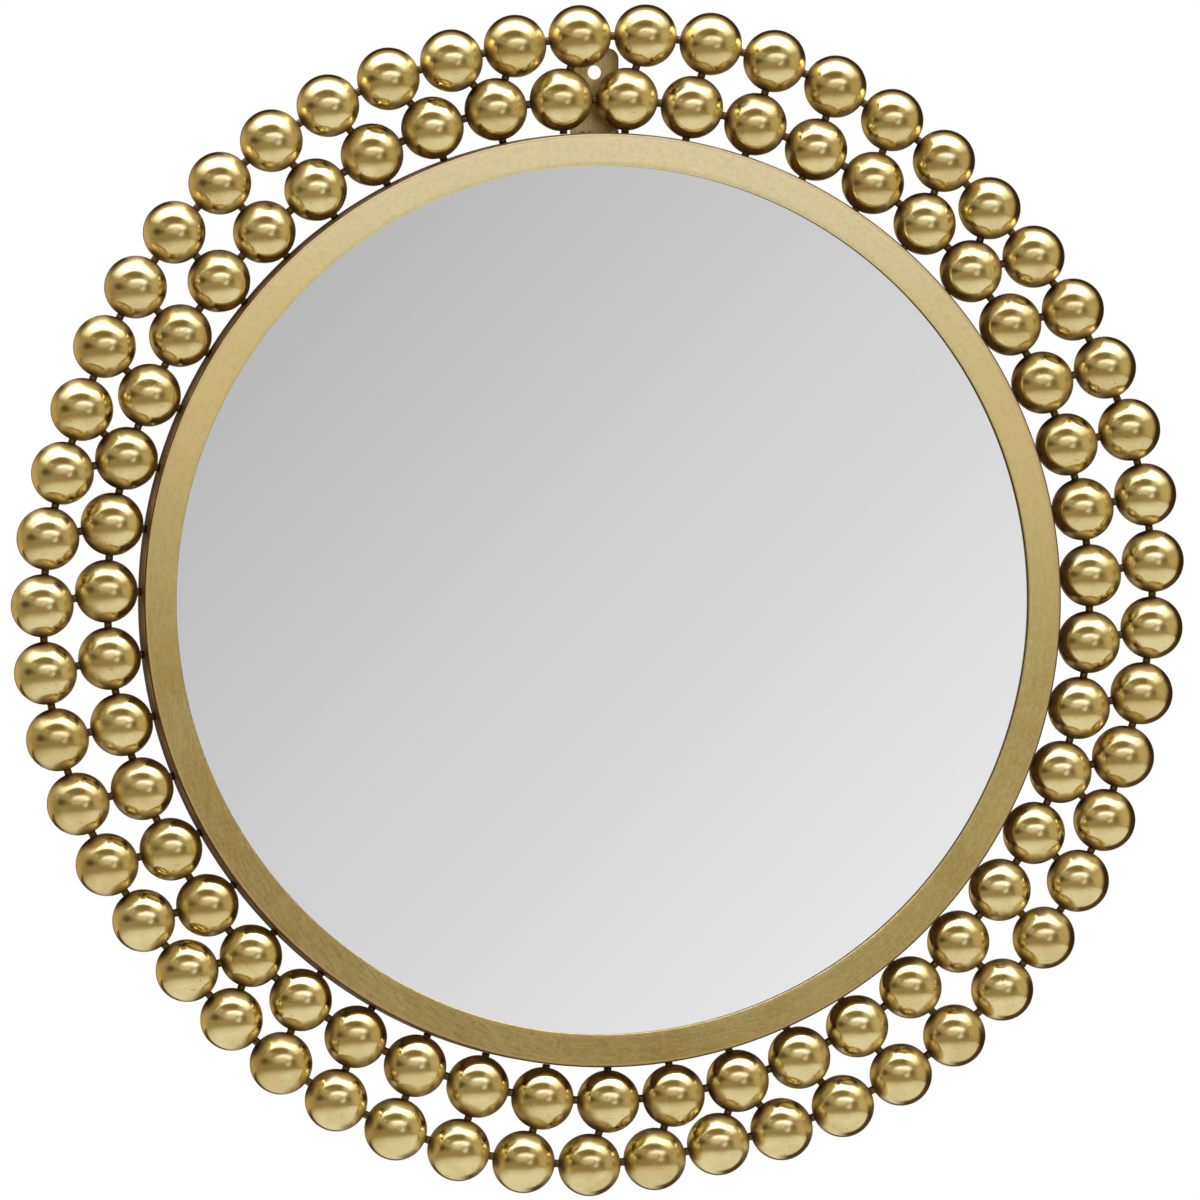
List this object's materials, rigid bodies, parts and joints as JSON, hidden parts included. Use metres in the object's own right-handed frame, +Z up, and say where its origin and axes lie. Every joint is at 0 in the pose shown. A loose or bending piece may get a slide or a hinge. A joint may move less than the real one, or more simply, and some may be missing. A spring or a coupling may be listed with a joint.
{
  "type": "round wall mirror",
  "caption": "Round wall mirror in a flat metal ring, edged with two close rows of polished metal balls, hung by a holed plate at the top back.",
  "frame": {"origin": "on the mirror's axis, in the plane of the ball centres", "axes": "+Y towards the wall (the glass faces -Y), +Z up, +X to the right seen from the front"},
  "size_m": [0.761, 0.043, 0.7596],
  "materials": {
    "ball_brass": "polished, antiqued",
    "ring_brass": "satin, brushed",
    "dark_bronze": "dark antiqued",
    "silvered_glass": "polished",
    "gasket_rubber": "matte",
    "cushion_felt": "matte",
    "board_wood": "matte, fibreboard",
    "clip_steel": "zinc plated",
    "bumper_rubber": "matte"
  },
  "bodies": {
    "frame": {"inner_ball_row": "ball_brass", "inner_row_pins": "ball_brass", "outer_ball_row": "ball_brass", "outer_row_pins": "ball_brass", "row_links": "ball_brass", "ring_studs": "ball_brass", "face_ring": "ring_brass", "side_band": "dark_bronze", "glazing_gasket": "gasket_rubber", "mirror_glass": "silvered_glass", "cushion_ring": "cushion_felt", "backing_board": "board_wood", "clip_posts": "clip_steel", "clip_screws": "clip_steel", "clip_washers": "clip_steel", "hanger_bracket": "ring_brass", "hanger_rivets": "ring_brass", "wall_bumpers": "bumper_rubber"},
    "turn_clip_1": {"turn_clip_1": "clip_steel"},
    "turn_clip_2": {"turn_clip_2": "clip_steel"},
    "turn_clip_3": {"turn_clip_3": "clip_steel"},
    "turn_clip_4": {"turn_clip_4": "clip_steel"},
    "turn_clip_5": {"turn_clip_5": "clip_steel"},
    "turn_clip_6": {"turn_clip_6": "clip_steel"}
  },
  "joints": [
    {"name": "turn_clip_1_turn", "type": "hinge", "parent": "frame", "child": "turn_clip_1", "pos_m": [0.145, 0.00295, 0.25115], "axis": [0, 1, 0], "range_deg": [-90, 90]},
    {"name": "turn_clip_2_turn", "type": "hinge", "parent": "frame", "child": "turn_clip_2", "pos_m": [0.29, 0.00295, 0], "axis": [0, 1, 0], "range_deg": [-90, 90]},
    {"name": "turn_clip_3_turn", "type": "hinge", "parent": "frame", "child": "turn_clip_3", "pos_m": [0.145, 0.00295, -0.25115], "axis": [0, 1, 0], "range_deg": [-90, 90]},
    {"name": "turn_clip_4_turn", "type": "hinge", "parent": "frame", "child": "turn_clip_4", "pos_m": [-0.145, 0.00295, -0.25115], "axis": [0, 1, 0], "range_deg": [-90, 90]},
    {"name": "turn_clip_5_turn", "type": "hinge", "parent": "frame", "child": "turn_clip_5", "pos_m": [-0.29, 0.00295, 0], "axis": [0, 1, 0], "range_deg": [-90, 90]},
    {"name": "turn_clip_6_turn", "type": "hinge", "parent": "frame", "child": "turn_clip_6", "pos_m": [-0.145, 0.00295, 0.25115], "axis": [0, 1, 0], "range_deg": [-90, 90]}
  ]
}
